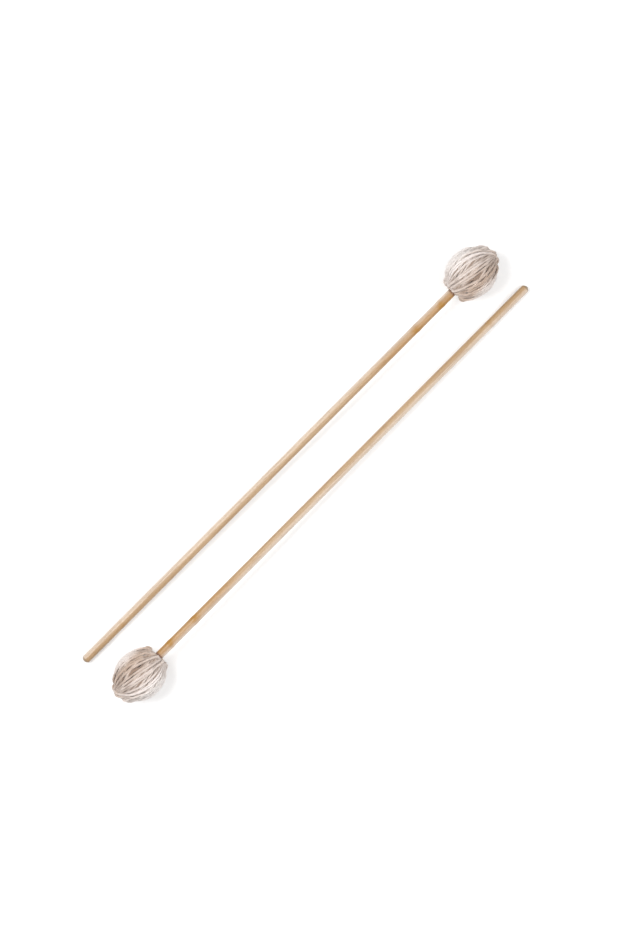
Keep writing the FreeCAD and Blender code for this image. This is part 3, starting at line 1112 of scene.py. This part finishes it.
@dataclass
class YarnWinding:
    """The visible yarn of a head, laid pass after pass, each one resting on those before it."""

    outline: HeadOutline
    seed: int
    under_passes: int = 82
    under_rounds: int = 5
    outer_passes: int = 76
    outer_rounds: int = 1
    yarn_radius: float = 0.8
    squash: float = 0.6
    settling: float = 0.6
    even_angle: float = 14.0
    even_rows: int = 13
    even_share: float = 86.0
    sink_share: float = 0.3
    hold: int = 3
    smoothness: int = 7
    tone_smoothness: int = 25
    top_smoothness: int = 9
    line_smoothness: int = 5
    shallowest: float = 0.6
    shallow_blend: float = 0.2
    deepest: float = 2.6
    neck_rings: Span = (3.7, 4.6)
    crown_rings: Span = (2.2, 5.8)
    leans: Span = (2.1, 3.8)
    unevenness: float = 0.05
    row_step: float = 0.3
    cells_round: int = 720
    step: float = 0.45
    holding_points: int = 24
    last_turn: float = 0.4
    layer_shift: float = 1.0
    hand: int = -1
    width_noise: float = 1.5
    width_smoothness: int = 9
    width_spread: float = 0.07
    courses: list[Course] = field(default_factory=list)

    def __post_init__(self) -> None:
        """Lay every pass."""
        self.random = np.random.default_rng(self.seed)
        self.rows = np.arange(0, self.outline.run[-1], self.row_step)
        self.piled = np.zeros((len(self.rows), self.cells_round))
        self.wind(0.0, self.under_passes, self.under_rounds)
        self.wind(self.layer_shift, self.outer_passes, self.outer_rounds)
        self.surface = self.evened()

    def evened(self) -> Array:
        """The level of the topmost yarn round every cell, taken over its surroundings.

        Returns:
            The levels by row and cell.
        """
        wide = int(self.even_angle / 360 * self.cells_round)
        parts = [self.piled[:, -wide:], self.piled, self.piled[:, : wide + 1]]
        sums = np.cumsum(np.concatenate(parts, axis=1), axis=1)
        mean = (sums[:, 2 * wide + 1 :] - sums[:, : -2 * wide - 1]) / (2 * wide + 1)
        mean = np.stack([smoothed(column, self.even_rows) for column in mean.T], axis=1)
        over = np.percentile(self.piled - mean, self.even_share, axis=1)
        over = smoothed(over, self.top_smoothness)
        return mean + over[:, None]

    def pick(self, limits: Span) -> float:
        """A random value between two limits."""
        return float(self.random.uniform(*limits))

    def wind(self, angle: float, passes: int, rounds: int) -> None:
        """Lay one layer of passes between neck and crown; each round fills the last one's gaps.

        Args:
            angle: The angle at which the first one crosses the belly.
            passes: How many passes the layer has.
            rounds: How many times the layer goes round the head.
        """
        advance = math.pi * (1 + 2 * rounds / passes)
        swept = []
        neck, crown = self.pick(self.neck_rings), self.pick(self.crown_rings)
        for number in range(passes):
            if number % 2 == 0:
                crown = self.pick(self.crown_rings)
            else:
                neck = self.pick(self.neck_rings)
            run, turn = self.outline.sweep(neck, crown, self.pick(self.leans))
            belly = np.interp(self.outline.run[self.outline.widest], run, turn)
            middle = angle + number * advance + self.random.normal(0, self.unevenness)
            if number % 2 == 0:
                swept.append((run, middle + turn - belly))
            else:
                swept.append((run[::-1], middle + belly - turn[::-1]))
        for number, (run, turn) in enumerate(swept):
            end = swept[number + 1][1][0] if number + 1 < passes else turn[-1] + self.last_turn
            turn = np.concatenate([turn, np.linspace(turn[-1], end, self.holding_points + 1)[1:]])
            run = np.concatenate([run, np.full(self.holding_points, run[-1])])
            self.lay(run, self.hand * turn)

    def lay(self, run: Array, angle: Array) -> None:
        """Lay one pass on what is already there.

        Args:
            run: Its places along the outline.
            angle: Its angles round the axis.
        """
        length = lengths(self.outline.points(run, angle, np.zeros(len(run))))
        places = np.arange(0, length[-1], self.step)
        run, angle = (np.interp(places, length, values) for values in (run, angle))
        radius = self.outline.at(run, self.outline.radius)
        spots = [self.footprint(*spot) for spot in zip(run, angle, radius)]
        raw = np.array([self.rest(self.piled[cells], dome) for cells, dome in spots])
        padded = np.pad(raw, self.hold, "edge")
        shifts = range(2 * self.hold + 1)
        held = np.max([padded[shift : shift + len(raw)] for shift in shifts], axis=0)
        height = smoothed(smoothed(held, self.smoothness), self.smoothness)
        height = np.maximum(height, raw - self.sink_share * self.yarn_radius)
        for (cells, dome), level in zip(spots, height):
            self.piled[cells] = np.maximum(self.piled[cells], np.where(dome > 0, level + dome, 0))
        self.courses.append(Course(run, angle, height, self.random.uniform(0, 1)))

    def rest(self, piled: Array, dome: Array) -> float:
        """The level of the yarn's middle over a spot, where it settles on what it lies on."""
        under = (piled + dome)[dome > 0]
        return (1 - self.settling) * under.max() + self.settling * under.mean()

    def footprint(self, run: float, angle: float, radius: float) -> tuple[tuple, Array]:
        """The cells under a spot of the yarn, and how far the yarn reaches from its middle there.

        Args:
            run: The spot's place along the outline.
            angle: Its angle round the axis.
            radius: The outline's radius there.

        Returns:
            The cells, and the yarn's half thickness over each.
        """
        row = int(round(run / self.row_step))
        reach = int(math.ceil(self.yarn_radius / self.row_step))
        rows = np.arange(max(0, row - reach), min(len(self.rows), row + reach + 1))
        cell = 2 * math.pi / self.cells_round
        wide = int(math.ceil(self.yarn_radius / (radius * cell)))
        columns = int(round(angle / cell)) + np.arange(-wide, wide + 1)
        across = ((columns * cell - angle) * radius)[None, :]
        off = (self.rows[rows] - run)[:, None] ** 2 + across**2
        dome = self.squash * np.sqrt(np.maximum(self.yarn_radius**2 - off, 0))
        return np.ix_(rows, columns % self.cells_round), dome

    def line(self, first: int, last: int, spacing: float) -> tuple[Array, Layers]:
        """The line of several passes in turn, with its tones and widths.

        Args:
            first: The first pass.
            last: The pass after the last one.
            spacing: The distance between the line's points.

        Returns:
            The points, and the attributes of the points.
        """
        courses = self.courses[first:last]
        run, angle, height = (
            np.concatenate([getattr(course, part) for course in courses])
            for part in ("run", "angle", "height")
        )
        tone = np.concatenate([np.full(len(course.run), course.tone) for course in courses])
        tone = smoothed(tone, self.tone_smoothness)
        row = np.round(run / self.row_step).astype(int)
        cell = np.round(angle / (2 * math.pi) * self.cells_round).astype(int)
        top = self.surface[np.minimum(row, len(self.rows) - 1), cell % self.cells_round]
        below = smoothed(top, self.top_smoothness) - smoothed(height, self.line_smoothness)
        over = (below - self.shallowest) / self.shallow_blend
        below = self.shallowest + self.shallow_blend * np.logaddexp(0, over)
        below = self.deepest * (1 - np.exp(-below / self.deepest))
        points = self.outline.points(run, angle, -below)
        length = lengths(points)
        places = np.linspace(0, length[-1], int(length[-1] / spacing))
        even = np.stack([np.interp(places, length, points[:, i]) for i in range(3)], axis=1)
        uneven = self.random.normal(0, self.width_noise, len(places))
        width = 1 + self.width_spread * smoothed(uneven, self.width_smoothness)
        return even, {TONE: np.interp(places, length, tone), "width": width}


@dataclass
class WoundHead:
    """A head's yarn: its body on the core, the winding, its loose fibres, bindings and anchor.

    The corners of the body and of its hollow are (radius, level), from the foot of the head.
    """

    maker: PieceMaker
    sizes: MalletSizes
    yarn: Material
    # Painted shade: a darker copy of the yarn, for the lower layers, the body and the anchor.
    shaded_yarn: Material
    fibre: Material
    thread: Material
    fibre_tree: FibreTree
    seed: int = 11
    ply_rise: float = 0.06
    ply_pitch: float = 10.0
    # Painted shade: where the yarn starts to darken with depth and how far that reaches; the neck
    # gets painted light.
    lit_depth: float = 0.25
    dark_depths: Span = (1.2, 4.4)
    neck_light: float = 1.2
    neck_reach: float = 10.0
    under_spacing: float = 1.0
    under_sides: int = 7
    outer_spacing: float = 0.7
    outer_sides: int = 12
    fibre_density: float = 1_700_000.0
    fibre_length: float = 1.4
    fibre_radius: float = 0.02
    bore_radius: float = 4.55
    foot: Span = (7.1, 7.05)
    belly: Span = (13.6, 19.5)
    shoulder: Span = (6.2, 32.2)
    nub_radius: float = 2.4
    nub_levels: Triple = (34.8, 37.2, 38.1)
    hollow: tuple[Span, Span, Span] = ((6.3, 9.7), (11.8, 20.0), (6.3, 30.3))
    # Painted shade: the share of the darker tone that the hidden body gets.
    body_shade: float = 0.8
    body_steps: int = 14
    nub_steps: int = 8
    hollow_steps: int = 10
    least_step: float = 0.01
    turns: int = 2
    neck_start: float = 0.8
    crown_drop: float = 3.7
    thread_points: int = 48
    thread_rise: float = 0.12
    thread_pitch: float = 2.0
    anchor_radius: float = 0.62
    anchor_lane: float = 1.3
    anchor_points: int = 45
    anchor_pitch: float = 4.0

    def build(self) -> None:
        """Make every piece of the head."""
        winding = YarnWinding(HeadOutline(self.sizes), self.seed)
        under, outer = winding.under_passes, winding.under_passes + winding.outer_passes
        self.body()
        self.wound(
            "under_yarn", winding, (0, under), self.under_spacing, self.under_sides,
            "yarn_inner", self.shaded_yarn,
        )
        yarn = self.wound(
            "head_yarn", winding, (under, outer), self.outer_spacing, self.outer_sides,
            "yarn", self.yarn, "outer_winding",
        )
        self.fuzz(yarn)
        self.bindings()
        self.anchor()

    def wound(
        self, piece: str, winding: YarnWinding, passes: tuple[int, int], spacing: float, sides: int,
        slot: str, material: Material, *nodes: str,
    ) -> Piece:
        """Several passes of the winding as one piece whose points carry painted shade that grows
        with how deep they lie.

        Args:
            piece: The piece's name without the mallet.
            winding: The winding that the passes belong to.
            passes: The first pass and the one after the last.
            spacing: The distance between the points of its line.
            sides: How many sides its section has.
            slot: Its material slot.
            material: Its material.
            nodes: The CAD nodes that it stands for.

        Returns:
            The piece.
        """
        points, layers = winding.line(*passes, spacing)
        made = self.maker.tube(
            piece, points, winding.yarn_radius, material, layers,
            sides=sides, rise=self.ply_rise, pitch=self.ply_pitch,
        )
        places = self.maker.own_places(made.data)
        # Painted shade: each point's share of the darker tone.
        dark = self.painted_shade(places, winding.outline.depth(places))
        made.data.attributes[DEPTH_SHADE].data.foreach_set("value", dark)
        return self.maker.hand_over(made, slot, *nodes)

    def painted_shade(self, places: Array, depth: Array) -> Array:
        """The yarn's share of painted shade, which grows with its depth and more slowly near axis
        and neck.

        Args:
            places: Its points in the mallet's millimetres.
            depth: How far they lie under the outline.

        Returns:
            The points' shares of the painted shade.
        """
        belly, axis = self.dark_depths
        radius = np.hypot(places[:, 0], places[:, 1])
        reach = belly + (axis - belly) * (1 - radius / self.sizes.head_radius)
        off_neck = smooth_share((places[:, 2] - self.sizes.head_base) / self.neck_reach)
        # Painted light: the shade grows more slowly near the neck.
        reach *= 1 + self.neck_light * (1 - off_neck)
        return smooth_share((depth - self.lit_depth) / reach)

    def body(self) -> None:
        """The closed body of yarn under the visible winding, with its nub at the crown."""
        foot, belly, shoulder = self.foot, self.belly, self.shoulder
        low, wide, high = self.hollow
        nub_foot, nub_edge, nub_top = self.nub_levels
        nub = [(self.nub_radius, nub_foot), (self.nub_radius, nub_edge)]
        steps, inner = self.body_steps, self.hollow_steps
        arcs = [
            [(self.bore_radius, foot[1]), foot],
            bow(foot, belly, steps), bow(belly, shoulder, steps, rising=False),
            nub, bow(nub[1], (0.0, nub_top), self.nub_steps, rising=False),
            [(0.0, high[1]), high],
            bow(high, wide, inner)[1:], bow(wide, low, inner, rising=False)[1:],
            [(self.bore_radius, low[1])],
        ]
        outline = np.array([corner for arc in arcs for corner in arc], float)
        apart = np.linalg.norm(np.diff(outline, axis=0), axis=1) > self.least_step
        outline = outline[np.concatenate([[True], apart])]
        outline[:, 1] += self.sizes.head_base
        piece = self.maker.turned("yarn_body", outline, self.shaded_yarn)
        # Painted shade: the whole body gets one share of the darker tone.
        self.maker.keep(piece.data, DEPTH_SHADE, np.full(len(piece.data.vertices), self.body_shade))
        self.maker.hand_over(piece, "yarn_inner", "inner_winding")

    def fuzz(self, yarn: Piece) -> None:
        """Loose fibres on a piece of yarn.

        Args:
            yarn: The piece that they stand out from.
        """
        values = {
            "Density": self.fibre_density, "Length": self.fibre_length * MM,
            "Thickness": self.fibre_radius * MM, "Seed": self.seed, "Material": self.fibre,
        }
        name = self.maker.name("head_fibres")
        piece = self.fibre_tree.applied(name, yarn.data.copy(), values)
        self.maker.rest_on_floor(piece.data)
        self.maker.hand_over(piece, "yarn")

    def bindings(self) -> None:
        """The threads round the shaft at the neck and round the nub at the crown."""
        sizes, thin, points = self.sizes, self.sizes.thread_radius, self.thread_points
        for end, core, start in (
            ("neck", sizes.shaft_radius, sizes.head_base + self.neck_start),
            ("crown", self.nub_radius, sizes.overall_length - self.crown_drop),
        ):
            line = self.coil(core, thin, start, sizes.thread_lane, points)
            made = self.maker.tube(
                f"{end}_thread", line, thin, self.thread,
                rise=self.thread_rise, pitch=self.thread_pitch,
            )
            self.maker.hand_over(made, "thread", f"{end}_binding")

    def anchor(self) -> None:
        """The first turns of yarn round the shaft under the core."""
        radius = self.anchor_radius
        start = self.sizes.head_base + self.foot[1]
        core = self.sizes.shaft_radius
        line = self.coil(core, radius, start, self.anchor_lane, self.anchor_points)
        piece = self.maker.tube(
            "anchor_yarn", line, radius, self.shaded_yarn, pitch=self.anchor_pitch
        )
        self.maker.hand_over(piece, "yarn_inner", "yarn_anchor")

    def coil(self, core: float, radius: float, start: float, lane: float, points: int) -> Array:
        """The line of a thread or yarn that is wound round a core.

        Args:
            core: The radius of what it is wound round.
            radius: Its own radius.
            start: The level of its first turn.
            lane: How far each turn lies from the last one.
            points: How many points each turn has.

        Returns:
            The points of the line.
        """
        middle = core + self.sizes.hard_clearance + radius
        angle = np.linspace(0, 2 * math.pi * self.turns, points * self.turns)
        return round_axis(middle, angle, start + angle / (2 * math.pi) * lane)


def bow(start: Span, end: Span, steps: int, rising: bool = True) -> list[Span]:
    """A quarter of an oval between two corners of an outline.

    Args:
        start: The first corner, as (radius, level).
        end: The last corner.
        steps: How many steps it has.
        rising: Whether the oval ends along the axis rather than starting along it.

    Returns:
        The corners of the bow.
    """
    made = []
    for turn in np.linspace(0, math.pi / 2, steps + 1):
        out, up = math.sin(turn), 1 - math.cos(turn)
        if not rising:
            out, up = up, out
        made.append((start[0] + (end[0] - start[0]) * out, start[1] + (end[1] - start[1]) * up))
    return made


@dataclass
class RattanShaft:
    """The rattan shaft with its domed butt, its growth rings and a slightly uneven thickness.

    It is drawn in steps from its first level on, in finer ones near its growth rings.
    """

    maker: PieceMaker
    sizes: MalletSizes
    rattan: Material
    top: float = 379.62
    rings: Span = (339.9, 317.1)
    ring_rise: float = 0.15
    ring_spread: float = 2.2
    ring_reach: float = 6.0
    dome_steps: int = 14
    first_level: float = 3.0
    steps: Span = (2.5, 0.5)
    seed: int = 16
    noise: float = 2.0
    smoothness: int = 15
    unevenness: float = 0.03
    tip_chamfer: float = 0.5
    segments: int = 48

    def build(self) -> None:
        """Make the shaft."""
        radius = self.sizes.shaft_radius
        rise = self.sizes.butt_rise
        dome = (radius**2 + rise**2) / (2 * rise)
        outline = [(0.0, 0.0)]
        for across in np.linspace(0, radius, self.dome_steps)[1:]:
            outline.append((across, dome - math.sqrt(dome**2 - across**2)))
        coarse, fine = self.steps
        reach = self.ring_reach
        near = [np.arange(ring - reach, ring + reach, fine) for ring in self.rings]
        levels = np.arange(self.first_level, self.top - 1, coarse)
        levels = np.unique(np.concatenate([levels, *near]))
        noise = np.random.default_rng(self.seed).normal(0, self.noise, len(levels))
        drift = self.unevenness * smoothed(noise, self.smoothness)
        for level, off in zip(levels, drift):
            swell = sum(
                self.ring_rise * math.exp(-(((level - ring) / self.ring_spread) ** 2))
                for ring in self.rings
            )
            outline.append((radius + swell - abs(off), level))
        tip = self.tip_chamfer
        outline += [(radius, self.top - tip), (radius - tip, self.top), (0.0, self.top)]
        line = np.array(outline)
        piece = self.maker.turned("shaft", line, self.rattan, self.segments, closed=False)
        self.maker.hand_over(piece, "rattan", "rattan_shaft")


@dataclass
class Studio:
    """The pale floor, the soft lamps and the camera straight over the mallets.

    Each lamp has its name, its place, its width and its power.
    """

    lens: float = 100.0
    sensor: float = 36.0
    picture_height: float = 624.0
    lamps: tuple[tuple[str, Triple, float, float], ...] = (
        ("key", (-0.35, 0.55, 1.1), 0.7, 12.0),
        ("fill", (0.4, -0.6, 1.1), 0.9, 9.0),
    )
    surround: float = 0.45
    floor_tones: tuple[Triple, Triple] = ((0.86, 0.86, 0.86), (0.88, 0.88, 0.88))
    floor_spots: Pattern = Pattern(3.0, 2.0)
    floor_reach: float = 3.0
    lift_span: Span = (0.6, 2.4)
    lifts: Span = (0.16, 0.75)
    off_centre: Span = (3.0, 6.0)
    slope: float = 45.05
    middle_level: float = 12.0

    def build(self) -> None:
        """Set up the stage."""
        self.floor()
        self.lights()
        self.camera()
        scene = bpy.context.scene
        scene.view_settings.view_transform = "Standard"

    def floor(self) -> None:
        """A pale floor that keeps the mallets' soft shadow and is white where it is seen."""
        mesh = bpy.data.meshes.new("floor")
        reach = self.floor_reach
        sides = ((-1, -1), (1, -1), (1, 1), (-1, 1))
        mesh.from_pydata([(x * reach, y * reach, 0) for x, y in sides], [], [(0, 1, 2, 3)])
        graph = MaterialGraph("pale_floor")
        place = graph.place()
        tone = graph.mix(graph.noise(place, self.floor_spots), *self.floor_tones)
        matt = graph.add("ShaderNodeBsdfDiffuse", {"Color": tone})
        path = graph.add("ShaderNodeLightPath")
        seen = path.outputs["Is Camera Ray"]
        for ray in ("Is Glossy Ray", "Is Transmission Ray"):
            seen = graph.math("MAXIMUM", seen, path.outputs[ray])
        away = graph.add("ShaderNodeVectorMath", {0: place}, operation="LENGTH").outputs["Value"]
        strength = graph.math("MULTIPLY", seen, graph.ranged(away, *self.lift_span, *self.lifts))
        lift = graph.add("ShaderNodeEmission", {"Strength": strength})
        both = graph.add("ShaderNodeAddShader", {0: matt, 1: lift})
        graph.add("ShaderNodeOutputMaterial", {"Surface": both})
        mesh.materials.append(graph.material)
        put("floor", mesh)

    def lights(self) -> None:
        """A wide soft lamp overhead and an even pale surround."""
        world = bpy.data.worlds.new("surround")
        world.use_nodes = True
        graph = Graph(world.node_tree)
        graph.tree.nodes.clear()
        seen = graph.add("ShaderNodeLightPath").outputs["Is Camera Ray"]
        strength = graph.math("ADD", graph.math("MULTIPLY", seen, 1 - self.surround), self.surround)
        inputs = {"Color": (1.0, 1.0, 1.0, 1.0), "Strength": strength}
        pale = graph.add("ShaderNodeBackground", inputs)
        graph.add("ShaderNodeOutputWorld", {"Surface": pale})
        bpy.context.scene.world = world
        for name, spot, width, power in self.lamps:
            data = bpy.data.lights.new(name, "AREA")
            data.shape = "DISK"
            data.size = width
            data.energy = power
            lamp = put(name, data)
            lamp.location = spot
            lamp.rotation_euler = (-Vector(spot)).to_track_quat("-Z", "Y").to_euler()

    def camera(self) -> None:
        """A long lens straight down, turned so that the shafts run from corner to corner."""
        data = bpy.data.cameras.new("camera")
        data.sensor_fit = "VERTICAL"
        data.sensor_height = self.sensor
        data.lens = self.lens
        camera = put("camera", data)
        slope = math.radians(self.slope)
        right = Vector((math.cos(slope), -math.sin(slope), 0))
        up = Vector((math.sin(slope), math.cos(slope), 0))
        turn = Matrix((right, up, right.cross(up))).transposed().to_4x4()
        distance = self.picture_height * self.lens / self.sensor
        middle = right * self.off_centre[0] + up * self.off_centre[1]
        middle += Vector((0, 0, self.middle_level + distance))
        camera.matrix_world = Matrix.Translation(middle * MM) @ turn
        bpy.context.scene.camera = camera


def dress_hidden(mallet: Mallet, finishes: dict[str, Material]) -> None:
    """Give the pieces inside the head their materials.

    Args:
        mallet: The mallet whose pieces they are.
        finishes: The material of each CAD node that stays.
    """
    for node, material in finishes.items():
        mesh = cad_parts[f"{node}_{mallet.value}"].data
        mesh.materials.clear()
        mesh.materials.append(material)


def main() -> None:
    """Build the pair and the studio."""
    logging.basicConfig(level=logging.INFO, format="%(message)s")
    sizes = MalletSizes()
    yarn = YarnFinish("cream_yarn").material()
    # Painted shade: a darker copy of the cream yarn for the lower layers and the body.
    shaded_yarn = YarnFinish(
        "shaded_lower_yarn", light=linear(192, 174, 161), mid=linear(170, 150, 136)
    ).material()
    fibre = MottledFinish(
        "loose_fibre", linear(214, 196, 182), linear(244, 236, 230), Pattern(160.0),
        roughness=0.9, specular=0.1, sheen=0.2,
    ).material()
    thread = ThreadFinish("binding_thread").material()
    rattan = RattanFinish("lacquered_rattan").material()
    rubber = MottledFinish(
        "core_rubber", (0.028, 0.024, 0.022), (0.06, 0.05, 0.045), Pattern(120.0),
        roughness=0.75, limits=(0.35, 0.7), grain=Pattern(900.0, 4.0),
    ).material()
    glue = MottledFinish(
        "cured_glue", (0.55, 0.42, 0.2), (0.68, 0.56, 0.36), Pattern(420.0),
        roughness=0.3, grain=Pattern(420.0), grain_strength=0.4,
    ).material()
    tube_tree = TubeTree()
    fibre_tree = FibreTree()
    Studio().build()
    for mallet in Mallet:
        maker = PieceMaker(mallet, sizes, tube_tree)
        RattanShaft(maker, sizes, rattan).build()
        WoundHead(maker, sizes, yarn, shaded_yarn, fibre, thread, fibre_tree).build()
        dress_hidden(mallet, {"rubber_core": rubber, "core_glue": glue})


if __name__ == "__main__":
    main()
